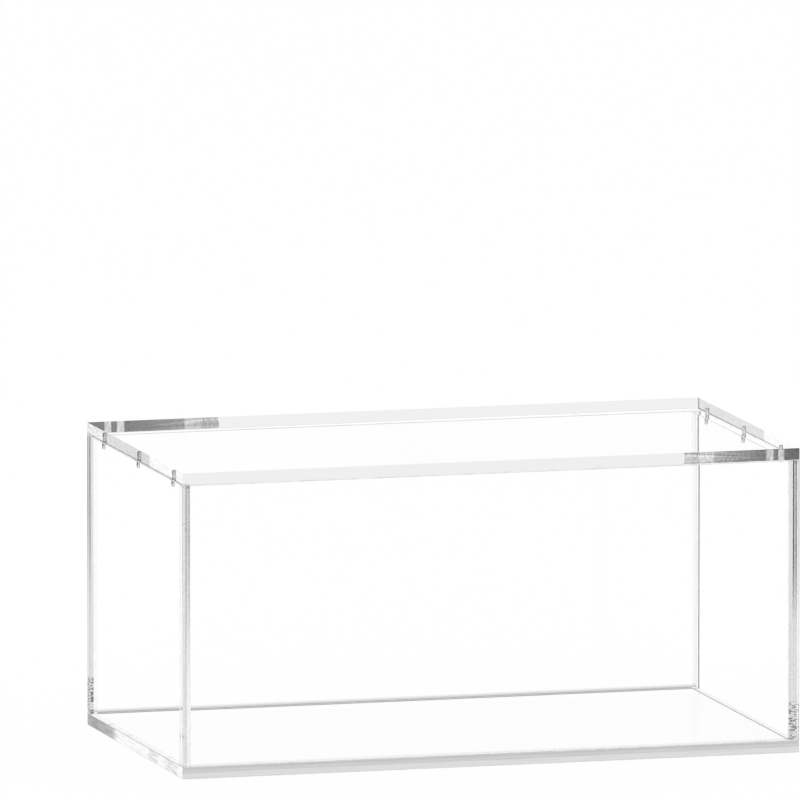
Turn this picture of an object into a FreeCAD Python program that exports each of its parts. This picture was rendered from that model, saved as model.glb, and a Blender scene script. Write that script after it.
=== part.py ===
"""Clear acrylic display case: a cemented tray of five sheets and a loose lid held by rod magnets.

Frame: millimetres, +Z up, +X along the long side, -Y is the front. The origin is the middle of the
underside, where the case stands.
"""

import FreeCAD, Part
import os
import Sketcher

# Driving sizes in millimetres, each with what it measures
SIZES = (
    ("case_width", 320.0, "outside, left to right"),
    ("case_depth", 182.0, "outside, front to back"),
    ("case_height", 154.0, "outside, underside to the top of the lid"),
    ("base_sheet", 6.0, "thickness of the floor sheet"),
    ("wall_sheet", 5.0, "thickness of the four wall sheets"),
    ("lid_sheet", 6.0, "thickness of the lid"),
    ("edge_break", 0.5, "polished chamfer on the edges that a hand can reach"),
    ("magnet_diameter", 2.0, "plated rod magnet"),
    ("magnet_length", 4.0, "plated rod magnet"),
    ("magnet_rim", 0.2, "chamfer on both rims of a magnet"),
    ("magnet_inset", 25.0, "outside of the front or back wall to the nearest magnet's axis"),
    ("magnets_per_end", 3, "magnets along each end wall"),
    ("magnet_recess", 0.05, "magnet end below the face it is let into"),
    ("glue_film", 0.1, "adhesive round and behind a magnet"),
    ("drill_point", 118.0, "degrees, tip of the drill that makes the seats"),
)
SHEET_NAME = "sizes"
MATCH = 1e-4  # millimetres, how near two places must be to count as the same
AXES = "xyz"
LEFT, RIGHT = -1, 1
# How a sketch numbers its origin and the points of a line or circle
ORIGIN = -1
START, END, CENTRE = 1, 2, 3
SIDE_NAMES = {LEFT: "left", RIGHT: "right"}
MAGNETS_PER_END = next(value for name, value, meaning in SIZES if name == "magnets_per_end")

# Expressions that several pieces share, so that what meets takes the same sizes
WALL_TOP = "(sizes.case_height - sizes.lid_sheet)"
WALL_HEIGHT = f"({WALL_TOP} - sizes.base_sheet)"
END_LENGTH = "(sizes.case_depth - 2 * sizes.wall_sheet)"
END_MIDDLE = "(sizes.case_width - sizes.wall_sheet) / 2"
FRONT_MIDDLE = "(sizes.case_depth - sizes.wall_sheet) / 2"
MAGNET_RUN = "(sizes.case_depth - 2 * sizes.magnet_inset)"
SEAT_DIAMETER = "sizes.magnet_diameter + 2 * sizes.glue_film"
SEAT_DEPTH = "sizes.magnet_recess + sizes.magnet_length + sizes.glue_film"

doc = FreeCAD.newDocument("display_case")
sub_parts = []


def fill_sheet():
    """One row per size: its name, its value with an alias, and what it measures."""
    sheet = doc.addObject("Spreadsheet::Sheet", SHEET_NAME)
    for row, (name, value, meaning) in enumerate(SIZES, start=1):
        sheet.set(f"A{row}", name)
        sheet.set(f"B{row}", str(value))
        sheet.set(f"C{row}", meaning)
        sheet.setAlias(f"B{row}", name)
    doc.recompute()


def new_body(label, place):
    """An empty body with its label, moved by one expression per axis; an axis left out stays at 0."""
    body = doc.addObject("PartDesign::Body", label)
    body.Label = label
    for axis, expression in place.items():
        body.setExpression(f"Placement.Base.{axis}", expression)
    sub_parts.append(body)
    return body


def origin_feature(body, role):
    """The body's own origin plane or axis of that role."""
    return next(f for f in body.Origin.OriginFeatures if f.Role == role)


def sketch_on(body, name, lift=None):
    """A sketch on the body's horizontal plane, lifted by an expression where one is given."""
    sketch = body.newObject("Sketcher::SketchObject", name)
    sketch.AttachmentSupport = [(origin_feature(body, "XY_Plane"), "")]
    sketch.MapMode = "FlatFace"
    if lift:
        sketch.setExpression("AttachmentOffset.Base.z", lift)
    return sketch


def bind(sketch, name, expression, kind, *places):
    """Adds a driving constraint that starts at 1 mm and binds it to an expression."""
    sketch.renameConstraint(sketch.addConstraint(Sketcher.Constraint(kind, *places, 1)), name)
    sketch.setExpression(f"Constraints.{name}", expression)


def draw_rectangle(sketch, length, breadth):
    """A rectangle centred on the sketch's origin, with both sides bound."""
    corners = [FreeCAD.Vector(x, y, 0) for x, y in ((-1, -1), (1, -1), (1, 1), (-1, 1))]
    for start, end in zip(corners, corners[1:] + corners[:1]):
        sketch.addGeometry(Part.LineSegment(start, end))
    bottom, right, top, left = range(4)
    for first, second in ((bottom, right), (right, top), (top, left), (left, bottom)):
        sketch.addConstraint(Sketcher.Constraint("Coincident", first, END, second, START))
    for line in (bottom, top):
        sketch.addConstraint(Sketcher.Constraint("Horizontal", line))
    for line in (left, right):
        sketch.addConstraint(Sketcher.Constraint("Vertical", line))
    sketch.addConstraint(Sketcher.Constraint("Symmetric", bottom, START, top, START, ORIGIN, START))
    bind(sketch, "long_side", length, "DistanceX", bottom, START, bottom, END)
    bind(sketch, "short_side", breadth, "DistanceY", right, START, right, END)


def draw_circle(sketch, name, diameter):
    """A circle with a bound diameter. Returns its number in the sketch."""
    circle = sketch.addGeometry(Part.Circle(FreeCAD.Vector(0, 0, 0), FreeCAD.Vector(0, 0, 1), 1))
    bind(sketch, name, diameter, "Diameter", circle)
    return circle


def pad(body, sketch, height):
    """Raises the sketch by a bound height."""
    feature = body.newObject("PartDesign::Pad", f"{body.Name}_pad")
    feature.Profile = sketch
    feature.setExpression("Length", height)
    sketch.Visibility = False
    doc.recompute()
    return feature


def sheet_body(label, length, breadth, height, place):
    """A sheet with square edges: a centred rectangle raised to its height."""
    body = new_body(label, place)
    sketch = sketch_on(body, f"{label}_outline")
    draw_rectangle(sketch, length, breadth)
    pad(body, sketch, height)
    return body


def break_edges(body, chosen):
    """Chamfers the edges of the body's tip whose middle, in the body's own frame, is chosen."""
    base = body.Tip
    box = base.Shape.BoundBox
    names = []
    for number, edge in enumerate(base.Shape.Edges, start=1):
        middle = edge.valueAt((edge.FirstParameter + edge.LastParameter) / 2)
        at_side = {}
        for axis, value, low, high in zip(
            AXES, middle, (box.XMin, box.YMin, box.ZMin), (box.XMax, box.YMax, box.ZMax)
        ):
            at_side[axis] = RIGHT if value > high - MATCH else LEFT if value < low + MATCH else 0
        if chosen(at_side):
            names.append(f"Edge{number}")
    feature = body.newObject("PartDesign::Chamfer", f"{body.Name}_edge_break")
    feature.Base = (base, names)
    feature.setExpression("Size", "sizes.edge_break")
    doc.recompute()


def drill_seats(body, face_height, columns, points_up):
    """Blind magnet seats along the depth: one hole per column, repeated from front to back.

    columns are X places in the body's frame. A seat opens on the face at face_height, or at the body's
    own plane where that is None: upwards in a wall, downwards in the lid.
    """
    sketch = sketch_on(body, f"{body.Name}_seat_marks", face_height)
    first_row = "-" + MAGNET_RUN + " / 2"
    for number, column in enumerate(columns):
        circle = draw_circle(sketch, f"bore_{number}", SEAT_DIAMETER)
        bind(sketch, f"column_{number}", column, "DistanceX", ORIGIN, START, circle, CENTRE)
        bind(sketch, f"row_{number}", first_row, "DistanceY", ORIGIN, START, circle, CENTRE)
    doc.recompute()
    solid_before = body.Shape.Volume
    hole = body.newObject("PartDesign::Hole", f"{body.Name}_seat")
    hole.Profile = sketch
    hole.ThreadType = "None"
    hole.HoleCutType = "None"
    hole.DepthType = "Dimension"
    hole.DrillPoint = "Angled"
    hole.Reversed = not points_up
    hole.setExpression("Diameter", SEAT_DIAMETER)
    hole.setExpression("Depth", SEAT_DEPTH)
    hole.setExpression("DrillPointAngle", "sizes.drill_point")
    sketch.Visibility = False
    doc.recompute()
    row = body.newObject("PartDesign::LinearPattern", f"{body.Name}_seat_row")
    row.Originals = [hole]
    row.Direction = (origin_feature(body, "Y_Axis"), [""])
    row.setExpression("Length", MAGNET_RUN)
    row.setExpression("Occurrences", "sizes.magnets_per_end")
    body.Tip = row
    doc.recompute()
    if body.Shape.Volume > solid_before - MATCH:
        raise RuntimeError(f"the seats of {body.Label} cut nothing")


def make_base_plate():
    """The floor sheet, with its lower rim and upright corners broken."""
    body = sheet_body("base_plate", "sizes.case_width", "sizes.case_depth", "sizes.base_sheet", {})
    break_edges(body, lambda at: at["z"] != RIGHT)


def reachable(at, side):
    """True for a front or back wall's outer edges, and for the short edges at the top of its two ends."""
    return at["y"] == side or (at["x"] != 0 and at["z"] == RIGHT)


def make_front_and_back():
    """Full-width walls. Only the edges that are left open by the base and the end walls are broken."""
    for label, side in (("front_panel", LEFT), ("back_panel", RIGHT)):
        place = {"y": f"{side} * {FRONT_MIDDLE}", "z": "sizes.base_sheet"}
        body = sheet_body(label, "sizes.case_width", "sizes.wall_sheet", WALL_HEIGHT, place)
        break_edges(body, lambda at, side=side: at["z"] != LEFT and reachable(at, side))


def make_end_panels():
    """End walls between front and back, with magnet seats drilled down into their top edges."""
    for side in (LEFT, RIGHT):
        place = {"x": f"{side} * {END_MIDDLE}", "z": "sizes.base_sheet"}
        label = f"{SIDE_NAMES[side]}_end_panel"
        body = sheet_body(label, "sizes.wall_sheet", END_LENGTH, WALL_HEIGHT, place)
        break_edges(body, lambda at, side=side: at["x"] == side and at["z"] == RIGHT)
        drill_seats(body, WALL_HEIGHT, ["0"], points_up=True)


def make_lid_plate():
    """The loose lid, broken on every edge, with seats drilled up into its underside over both end walls."""
    place = {"z": WALL_TOP}
    body = sheet_body("lid_plate", "sizes.case_width", "sizes.case_depth", "sizes.lid_sheet", place)
    break_edges(body, lambda at: True)
    columns = [f"{side} * {END_MIDDLE}" for side in (LEFT, RIGHT)]
    drill_seats(body, None, columns, points_up=False)


def make_magnets():
    """A rod magnet in every seat, its free end just below the face."""
    starts = {
        "wall": f"{WALL_TOP} - sizes.magnet_recess - sizes.magnet_length",
        "lid": f"{WALL_TOP} + sizes.magnet_recess",
    }
    for holder, start in starts.items():
        for side in (LEFT, RIGHT):
            for number in range(MAGNETS_PER_END):
                share = f"{number} / (sizes.magnets_per_end - 1)"
                place = {
                    "x": f"{side} * {END_MIDDLE}",
                    "y": f"{MAGNET_RUN} * ({share} - 1 / 2)",
                    "z": start,
                }
                make_magnet(f"{holder}_magnet_{SIDE_NAMES[side]}_{number + 1}", place)


def make_magnet(label, place):
    """One rod: a circle raised to the magnet's length, with both rims broken."""
    body = new_body(label, place)
    sketch = sketch_on(body, f"{label}_outline")
    circle = draw_circle(sketch, "rod", "sizes.magnet_diameter")
    sketch.addConstraint(Sketcher.Constraint("Coincident", circle, CENTRE, ORIGIN, START))
    rod = pad(body, sketch, "sizes.magnet_length")
    rims = [
        f"Edge{number}"
        for number, edge in enumerate(rod.Shape.Edges, start=1)
        if isinstance(edge.Curve, Part.Circle)
    ]
    rim_break = body.newObject("PartDesign::Chamfer", f"{label}_rims")
    rim_break.Base = (rod, rims)
    rim_break.setExpression("Size", "sizes.magnet_rim")
    doc.recompute()


def check_document():
    """Stops on any failed object or any piece that isn't one valid solid."""
    doc.recompute()
    for item in doc.Objects:
        if "Invalid" in item.State or "Error" in item.State:
            raise RuntimeError(f"{item.Label} failed: {item.State}")
    for body in sub_parts:
        shape = body.Shape
        if shape.isNull() or not shape.isValid() or len(shape.Solids) != 1:
            raise RuntimeError(f"{body.Label} is not one valid solid")


def write_parts():
    """One file per piece, named after its label."""
    os.makedirs("parts", exist_ok=True)
    for body in sub_parts:
        body.Shape.exportStep(f"parts/{body.Label}.step")
        box = body.Shape.BoundBox
        print(f"{body.Label}: {body.Shape.Volume:.1f} mm3, z {box.ZMin:.2f} to {box.ZMax:.2f}")


fill_sheet()
make_base_plate()
make_front_and_back()
make_end_panels()
make_lid_plate()
make_magnets()
check_document()
write_parts()
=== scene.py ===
"""Dresses a clear acrylic display case: a cemented tray, a loose lid and plated rod magnets on white."""

import math
from collections import namedtuple

import bmesh
import bpy
import numpy as np
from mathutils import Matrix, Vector
from mathutils.geometry import delaunay_2d_cdt


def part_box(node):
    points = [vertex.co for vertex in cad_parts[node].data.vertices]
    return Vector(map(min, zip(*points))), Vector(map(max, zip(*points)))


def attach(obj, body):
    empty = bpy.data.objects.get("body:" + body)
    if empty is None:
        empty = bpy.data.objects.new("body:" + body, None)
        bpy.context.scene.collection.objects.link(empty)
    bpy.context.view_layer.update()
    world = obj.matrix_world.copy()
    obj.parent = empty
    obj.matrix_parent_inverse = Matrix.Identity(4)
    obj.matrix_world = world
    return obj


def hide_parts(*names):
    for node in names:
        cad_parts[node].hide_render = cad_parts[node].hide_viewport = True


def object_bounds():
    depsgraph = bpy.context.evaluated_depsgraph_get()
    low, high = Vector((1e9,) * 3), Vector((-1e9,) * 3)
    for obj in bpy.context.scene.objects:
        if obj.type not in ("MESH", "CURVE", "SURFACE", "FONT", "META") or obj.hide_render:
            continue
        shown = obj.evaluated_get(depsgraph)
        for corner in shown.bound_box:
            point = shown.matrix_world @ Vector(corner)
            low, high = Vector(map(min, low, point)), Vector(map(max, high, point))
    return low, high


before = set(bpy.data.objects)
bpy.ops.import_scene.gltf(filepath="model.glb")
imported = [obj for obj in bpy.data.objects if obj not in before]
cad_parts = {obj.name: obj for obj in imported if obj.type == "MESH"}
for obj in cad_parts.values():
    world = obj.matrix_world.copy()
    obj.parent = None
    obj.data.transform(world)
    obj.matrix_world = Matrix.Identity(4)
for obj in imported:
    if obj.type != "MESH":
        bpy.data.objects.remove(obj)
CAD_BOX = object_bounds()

bl_info = {
    "name": "Clear Display Case",
    "version": (1, 0, 0),
    "blender": (4, 5, 0),
    "location": "3D View > Sidebar > Display Case",
    "description": "Dresses the sheets, magnets and stage of a clear acrylic display case",
    "category": "Object",
}

MM = 0.001
IMAGE_PIXELS = 800
SENSOR_MM = 36.0
WELD = 1e-6
WHITE = (1.0, 1.0, 1.0, 1.0)
BLACK = (0.0, 0.0, 0.0, 1.0)
CASE_BODY, LID_BODY = "case", "lid"
SIDES = ("left", "right")
MAGNET_NUMBERS = (1, 2, 3)
# Where a shaded point lies on its piece
Spot = namedtuple("Spot", "place x y z")
# Which of a sheet's materials a face takes; the end panels have their cement seams in the last place
FACE, JOINT, ROUND, EDGE, END = range(5)
# How squarely a face has to lie to count as flat
SQUARE = 0.999
# How the triangulation treats loops inside the outer one
KEEP_INNER, DROP_INNER = 1, 2
# The four corners of a rectangle about the origin, anticlockwise
QUADRANTS = np.array(((1, 1), (-1, 1), (-1, -1), (1, -1)))
# How much wider a sheet's upright corners are rounded than its edges
CORNER_SPARE = 1.1
# Tells one from nought
BETWEEN = 0.5
# Places that the parts in model.glb give
HALF_WIDTH, HALF_DEPTH, CASE_TOP = CAD_BOX[1]
BASE_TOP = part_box("base_plate")[1][2]
LID_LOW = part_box("lid_plate")[0][2]
WALL_INSIDE = (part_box("right_end_panel")[0][0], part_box("back_panel")[0][1])
WALL = HALF_WIDTH - WALL_INSIDE[0]

# Tones along an edge, each a share of the way and a grey
# Painted reflection of the end edges in the lid's long edges near one corner: dark, with two pale gaps,
# outside and seen through the lid
LID_REFLECTION_OUTSIDE = ((0.0, 0.17), (0.130, 0.20), (0.136, 0.62), (0.182, 0.70), (0.188, 0.24), (0.222, 0.26),
                    (0.230, 0.74), (0.285, 0.60), (0.292, 0.24), (0.500, 0.34), (0.735, 0.47), (0.740, 0.72),
                    (0.870, 0.68), (0.875, 0.57), (0.990, 0.62), (1.0, 1.0))
LID_REFLECTION_INSIDE = ((0.0, 0.13), (0.130, 0.15), (0.135, 0.64), (0.180, 0.70), (0.185, 0.16), (0.225, 0.18),
                   (0.230, 0.74), (0.280, 0.66), (0.285, 0.14), (0.500, 0.20), (0.735, 0.33), (0.740, 0.66),
                   (0.870, 0.56), (0.875, 0.46), (0.990, 0.50), (1.0, 1.0))
# Painted shade on the lid's end edges: a grey stretch, of one length outside and another seen through the lid
LID_END_OUTSIDE = ((0.0, 0.95), (0.17, 0.93), (0.19, 0.75), (0.655, 0.70), (0.665, 0.97), (1.0, 0.98))
LID_END_INSIDE = ((0.0, 0.32), (0.008, 0.34), (0.014, 0.75), (0.60, 0.76), (0.645, 0.74), (0.655, 1.0),
                  (1.0, 1.0))
# Painted shade on the base plate's edges: two greys up the long edges, and a streaked grey near one corner of
# the end edges
BASE_LONG_EDGE = ((0.0, 0.60), (0.06, 0.66), (0.09, 0.73), (0.48, 0.72), (0.53, 0.63), (0.63, 0.60),
                  (0.72, 0.64), (0.80, 0.58), (0.90, 0.53), (0.95, 0.61), (1.0, 0.68))
BASE_END_EDGE = ((0.0, 0.42), (0.10, 0.38), (0.26, 0.46), (0.31, 0.97), (0.62, 1.0), (0.66, 0.80),
                 (0.72, 0.82), (0.76, 1.0), (0.86, 0.84), (0.93, 0.86), (0.95, 1.0), (1.0, 1.0))
# Painted shade in the upright seams: dark lines and greys at each corner
SEAM_FRONT_RIGHT = ((0.0, 0.93), (0.15, 0.93), (0.19, 0.76), (0.30, 0.78), (0.46, 0.86), (0.49, 0.06),
                    (0.575, 0.06), (0.61, 0.50), (0.77, 0.54), (0.80, 0.26), (0.89, 0.26), (0.92, 0.56),
                    (1.0, 0.78))
SEAM_FRONT_LEFT = ((0.0, 1.0), (0.24, 1.0), (0.27, 0.85), (0.44, 0.80), (0.47, 0.50), (0.65, 0.50),
                   (0.68, 0.75), (0.76, 0.75), (0.78, 0.45), (0.97, 0.45), (1.0, 1.0))
SEAM_FRONT_LEFT_FOOT = ((0.0, 1.0), (0.24, 1.0), (0.27, 0.88), (0.45, 0.75), (0.55, 0.70), (0.58, 0.90),
                        (0.78, 1.0), (0.87, 1.0), (0.90, 0.94), (1.0, 0.94))
SEAM_BACK_LEFT = ((0.0, 0.20), (0.11, 0.22), (0.14, 0.76), (0.46, 0.78), (0.50, 0.98), (1.0, 0.98))
SEAM_BACK_RIGHT = ((0.0, 0.98), (0.44, 0.97), (0.46, 0.86), (0.56, 0.86), (0.58, 0.98), (0.80, 0.97),
                   (0.82, 0.22), (0.97, 0.22), (0.99, 0.90), (1.0, 0.95))
# Painted shade lines across the back wall's upright ends
BACK_WALL_END = ((0.0, 1.0), (0.02, 0.42), (0.20, 0.42), (0.24, 1.0), (0.55, 1.0), (0.60, 0.42), (1.0, 0.42))
# Painted shade on the rounded edges by height: darker at the back, with a dark line near the foot
ROUNDED_BACK = ((0.0, 0.42), (0.030, 0.42), (0.034, 0.15), (0.046, 0.15), (0.050, 0.40), (0.35, 0.36),
                (0.65, 0.20), (0.9605, 0.15), (0.9609, 0.62), (1.0, 0.62))
ROUNDED_FRONT = ((0.0, 0.45), (0.030, 0.45), (0.034, 0.35), (0.046, 0.35), (0.050, 0.85), (0.955, 0.80),
                 (0.957, 0.25), (0.9605, 0.25), (0.9609, 0.72), (1.0, 0.72))
LONG_FOOT = ((0.0, 0.17), (0.24, 0.19), (0.29, 0.54), (0.50, 0.62), (0.75, 0.76), (0.97, 0.84), (1.0, 1.0))
END_FOOT = ((0.0, 0.30), (0.34, 0.30), (0.38, 1.0), (0.84, 1.0), (0.87, 0.86), (0.97, 0.86), (1.0, 1.0))

# Marks in a finish: how fine they are along X, Y and Z, and the lowest and highest value they give
LID_CLOUD = ((9.0, 9.0, 9.0), 0.992, 1.0)
# The fan and the bars are painted streaks in the painted reflection on the lid's long edges
LID_FAN = ((26.0, 1.0, 1.0), 0.72, 1.42)
LID_BARS = ((900.0, 1.0, 500.0), 0.80, 1.18)
LID_END_LINES = ((1.0, 160.0, 900.0), 0.93, 1.05)
BASE_LONG_LINES = ((30.0, 1.0, 2200.0), 0.95, 1.05)
BASE_END_LINES = ((1.0, 70.0, 1300.0), 0.82, 1.18)
WALL_LINES = ((1200.0, 1200.0, 25.0), 0.9, 1.0)
CEMENT_HAZE = ((300.0, 300.0, 300.0), 0.96, 1.0)
BUBBLES = ((350.0, 350.0, 1500.0), 0.0, 1.0)
EDGE_WEAR = ((120.0, 120.0, 120.0), 0.80, 1.12)
FACE_WAVE = ((7.0, 7.0, 7.0), 0.0, 1.0)
TURNING_MARKS = ((900.0, 900.0, 5000.0), 0.08, 0.22)
FLOOR_MOTTLE = ((6.0, 6.0, 6.0), 0.98, 1.0)
WAVE_STRENGTH, WAVE_DEPTH = 0.05, 0.5 * MM
SCUFF_STRETCH, SCUFF_STRENGTH = (70.0, 90.0, 160.0), 0.05
# Bubbles: where their noise begins and ends, how much they cover, where they thin out, and their tone
BUBBLE_EDGE, BUBBLE_COVER, BUBBLE_FADE, BUBBLE_TONE = (0.42, 0.72), 0.9, 0.9, 0.10
# Shares of the case's height between which the painted shade on the uprights fades, and what is left of the
# walls' painted shade at the foot
WALL_FADE, WALL_FADE_FOOT = (0.35, 0.80), 0.45
SEAM_FADE, SEAM_FRONT_LEFT_FADE = (0.36, 0.66), (0.15, 0.85)
# The front wall's cement line runs through its tones this much faster, and is this much paler
FRONT_FOOT_SPEED, FRONT_FOOT_PALE = 1.8, 0.6
# Heights above the lid's underside between which its painted dark low line ends
LID_LINE = (0.8 * MM, 1.0 * MM)
# Tints of the shadow that faces, polished edges, the darkest edges and joints throw
FACE_SHADOW, EDGE_SHADOW, FOOT_SHADOW, JOINT_SHADOW = 0.97, 0.8, 0.7, 1.0


class SheetSettings(bpy.types.PropertyGroup):
    """Sizes and finish of the acrylic sheets."""

    free_edge: bpy.props.FloatProperty(
        name="Free Edge", description="Radius of an edge that a hand can reach",
        default=0.35 * MM, unit="LENGTH", precision=5)
    cemented_edge: bpy.props.FloatProperty(
        name="Cemented Edge", description="Radius of an edge that lies in a cemented joint",
        default=0.18 * MM, unit="LENGTH", precision=5)
    cement_film: bpy.props.FloatProperty(
        name="Cement Film", description="Cement between two sheets",
        default=0.02 * MM, unit="LENGTH", precision=5)
    lid_gap: bpy.props.FloatProperty(
        name="Lid Gap", description="Air between the walls and the lid that lies on them",
        default=0.03 * MM, unit="LENGTH", precision=5)
    glue_film: bpy.props.FloatProperty(
        name="Glue Film", description="Adhesive round and behind a magnet in its seat",
        default=0.1 * MM, unit="LENGTH", precision=5)
    drill_point: bpy.props.FloatProperty(
        name="Drill Point", description="Angle of the drill's tip, left at the end of a seat",
        default=math.radians(118.0), subtype="ANGLE")
    round_steps: bpy.props.IntProperty(
        name="Round Steps", description="Faces across a rounded edge", default=4, min=2)
    seat_steps: bpy.props.IntProperty(
        name="Seat Steps", description="Faces round a magnet's seat", default=32, min=12)
    refraction: bpy.props.FloatProperty(
        name="Refraction", description="Refractive index of cast acrylic", default=1.49, min=1.0)
    end_refraction: bpy.props.FloatProperty(
        name="End Refraction", description="Refractive index of the end panels' faces, seen at a slant",
        default=1.02, min=1.0)
    base_refraction: bpy.props.FloatProperty(
        name="Base Refraction", description="Refractive index of the base plate's faces, seen at a slant",
        default=1.04, min=1.0)
    lid_sheen: bpy.props.FloatProperty(
        name="Lid Sheen", description="Refractive index that sets the gloss on the lid",
        default=1.03, min=1.0)
    # Painted shade on the lid's front and back edges
    lid_edge: bpy.props.FloatProperty(
        name="Lid Edge", description="Tone of the lid's front and back edges",
        default=0.865, min=0.0, max=1.0, subtype="FACTOR")
    # Painted shade: a dark line along the foot of the lid's end edges
    lid_low_line: bpy.props.FloatProperty(
        name="Lid Low Line", description="Tone of the dark line along the foot of the lid's end edges",
        default=0.45, min=0.0, max=1.0, subtype="FACTOR")
    # Lengths, slant and streaks of the painted reflection near one corner of each long lid edge
    lid_dark_outside: bpy.props.FloatProperty(
        name="Dark Length Outside",
        description="Length of the dark part of a lid edge, seen from outside",
        default=60.6 * MM, unit="LENGTH")
    lid_dark_inside: bpy.props.FloatProperty(
        name="Dark Length Inside",
        description="Length of the dark part of a lid edge, seen through the lid",
        default=69.0 * MM, unit="LENGTH")
    lid_dark_slant: bpy.props.FloatProperty(
        name="Dark Slant", description="How fast the dark part of a lid edge deepens, seen through the lid",
        default=0.55, min=0.0)
    fan_start: bpy.props.FloatProperty(
        name="Fan Start", description="Distance from the corner at which the streaks in a lid edge meet",
        default=14.0 * MM, unit="LENGTH")
    fan_height: bpy.props.FloatProperty(
        name="Fan Height", description="Height above the lid's underside at which the streaks meet",
        default=1.8 * MM, unit="LENGTH", precision=5)
    # Painted shade on the upright wall edges at two opposite corners
    wall_edge: bpy.props.FloatProperty(
        name="Wall Edge", description="Tone of the darker upright wall edges",
        default=0.62, min=0.0, max=1.0, subtype="FACTOR")
    cement: bpy.props.FloatProperty(
        name="Cement", description="Tone of one face of a cemented joint",
        default=0.985, min=0.0, max=1.0, subtype="FACTOR")
    # Painted shade in the upright seams: its grey at the foot, and how much of the back seams is grey
    seam_foot: bpy.props.FloatProperty(
        name="Seam Foot", description="Tone of the upright seams at their foot",
        default=0.77, min=0.0, max=1.0, subtype="FACTOR")
    back_seam: bpy.props.FloatProperty(
        name="Back Seam", description="Share of the wall that the grey back seams take up",
        default=0.48, min=0.0, max=1.0, subtype="FACTOR")
    # The colour of the dark film that paints shade on the edges and seams
    film_colour: bpy.props.FloatVectorProperty(
        name="Film Colour", description="Colour of what darkens an edge or a seam",
        default=(0.05, 0.03, 0.04), subtype="COLOR", size=3)
    cement_foot: bpy.props.FloatProperty(
        name="Cement Foot", description="How far the cement has crept up the walls",
        default=2.2 * MM, unit="LENGTH", precision=5)
    bubble_height: bpy.props.FloatProperty(
        name="Bubble Height", description="How far bubbles reach up in the seams",
        default=20.0 * MM, unit="LENGTH")


class MagnetSettings(bpy.types.PropertyGroup):
    """Sizes and finish of the rod magnets."""

    rim: bpy.props.FloatProperty(
        name="Rim", description="Radius of a magnet's plated rims",
        default=0.2 * MM, unit="LENGTH", precision=5)
    round_steps: bpy.props.IntProperty(
        name="Round Steps", description="Faces across a rim", default=4, min=2)
    turn_steps: bpy.props.IntProperty(
        name="Turn Steps", description="Faces round a magnet", default=40, min=12)
    plating: bpy.props.FloatVectorProperty(
        name="Plating", description="Colour of the bright nickel plating",
        default=(0.74, 0.73, 0.71), subtype="COLOR", size=3)


class StudioSettings(bpy.types.PropertyGroup):
    """The white stage, its light and the camera."""

    azimuth: bpy.props.FloatProperty(
        name="Azimuth", description="Camera's bearing round the case",
        default=math.radians(-15.758), subtype="ANGLE")
    elevation: bpy.props.FloatProperty(
        name="Elevation", description="Camera's height above the horizon",
        default=math.radians(8.704), subtype="ANGLE")
    yaw: bpy.props.FloatProperty(
        name="Yaw", description="Bearing in which the camera looks",
        default=math.radians(15.681), subtype="ANGLE")
    pitch: bpy.props.FloatProperty(
        name="Pitch", description="How far down the camera looks",
        default=math.radians(8.368), subtype="ANGLE")
    distance: bpy.props.FloatProperty(
        name="Distance", description="Camera to the middle of the case", default=16.0, unit="LENGTH")
    focal_pixels: bpy.props.FloatProperty(
        name="Focal Length", description="Focal length in pixels of the picture", default=31888.8)
    floor_size: bpy.props.FloatProperty(
        name="Floor Size", description="Half the width of the floor", default=9.0, unit="LENGTH")
    floor_colour: bpy.props.FloatVectorProperty(
        name="Floor Colour", description="Colour of the pale floor",
        default=(0.95, 0.95, 0.95), subtype="COLOR", size=3)
    floor_glow: bpy.props.FloatProperty(
        name="Floor Glow", description="Share of plain white in what the floor shows", default=0.97,
        min=0.0, max=1.0, subtype="FACTOR")
    card_tone: bpy.props.FloatProperty(
        name="Card Tone", description="Grey of the dark cards at both sides, which only reflections show",
        default=0.20, min=0.0, max=1.0, subtype="FACTOR")
    card_distance: bpy.props.FloatProperty(
        name="Card Distance", description="How far out the cards stand on the floor",
        default=0.8, unit="LENGTH")
    card_bearing: bpy.props.FloatProperty(
        name="Card Bearing", description="Sine of the bearing at which the cards begin", default=0.5,
        min=0.0, max=1.0, subtype="FACTOR")
    lamp_power: bpy.props.FloatProperty(
        name="Lamp Power", description="Power of the soft box overhead", default=4.0, unit="POWER")


class CaseSettings(bpy.types.PropertyGroup):
    """All settings of the display case."""

    sheets: bpy.props.PointerProperty(type=SheetSettings)
    magnets: bpy.props.PointerProperty(type=MagnetSettings)
    studio: bpy.props.PointerProperty(type=StudioSettings)


# Surfaces

def outline(half, corner, steps, cuts=()):
    """Rounded rectangle about the origin, anticlockwise, as points and outward normals.

    Each corner is a quarter circle: its centre plus its radius times the cosine and sine of the turn. A cut
    is a point on a straight side, with that side's normal. All points are put in order of their bearing.
    """
    turn = np.linspace(0.0, np.pi / 2, steps + 1)
    bearing = (turn[None, :] + np.arange(len(QUADRANTS))[:, None] * np.pi / 2).ravel()
    normals = np.stack((np.cos(bearing), np.sin(bearing)), axis=1)
    signs = np.repeat(QUADRANTS, steps + 1, axis=0)
    points = signs * (np.asarray(half) - corner) + corner * normals
    if len(cuts):
        spots = np.asarray(cuts)
        points = np.concatenate((points, spots[:, 0]))
        normals = np.concatenate((normals, spots[:, 1]))
    order = np.argsort(np.arctan2(points[:, 1], points[:, 0]))
    return points[order], normals[order]


def edge_profile(height, low, high, steps):
    """Inward offset and height of a sheet's side, from its underside to its top.

    A quarter circle of radius low, the straight side, and a quarter circle of radius high: the offset is the
    radius less its sine, and the height is the radius less its cosine.
    """
    turn = np.linspace(0.0, np.pi / 2, steps + 1)
    inward, rise = 1.0 - np.sin(turn), 1.0 - np.cos(turn)
    offset = np.concatenate((low * inward, high * inward[::-1]))
    level = np.concatenate((low * rise, height - high * rise[::-1]))
    return offset, level


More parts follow.
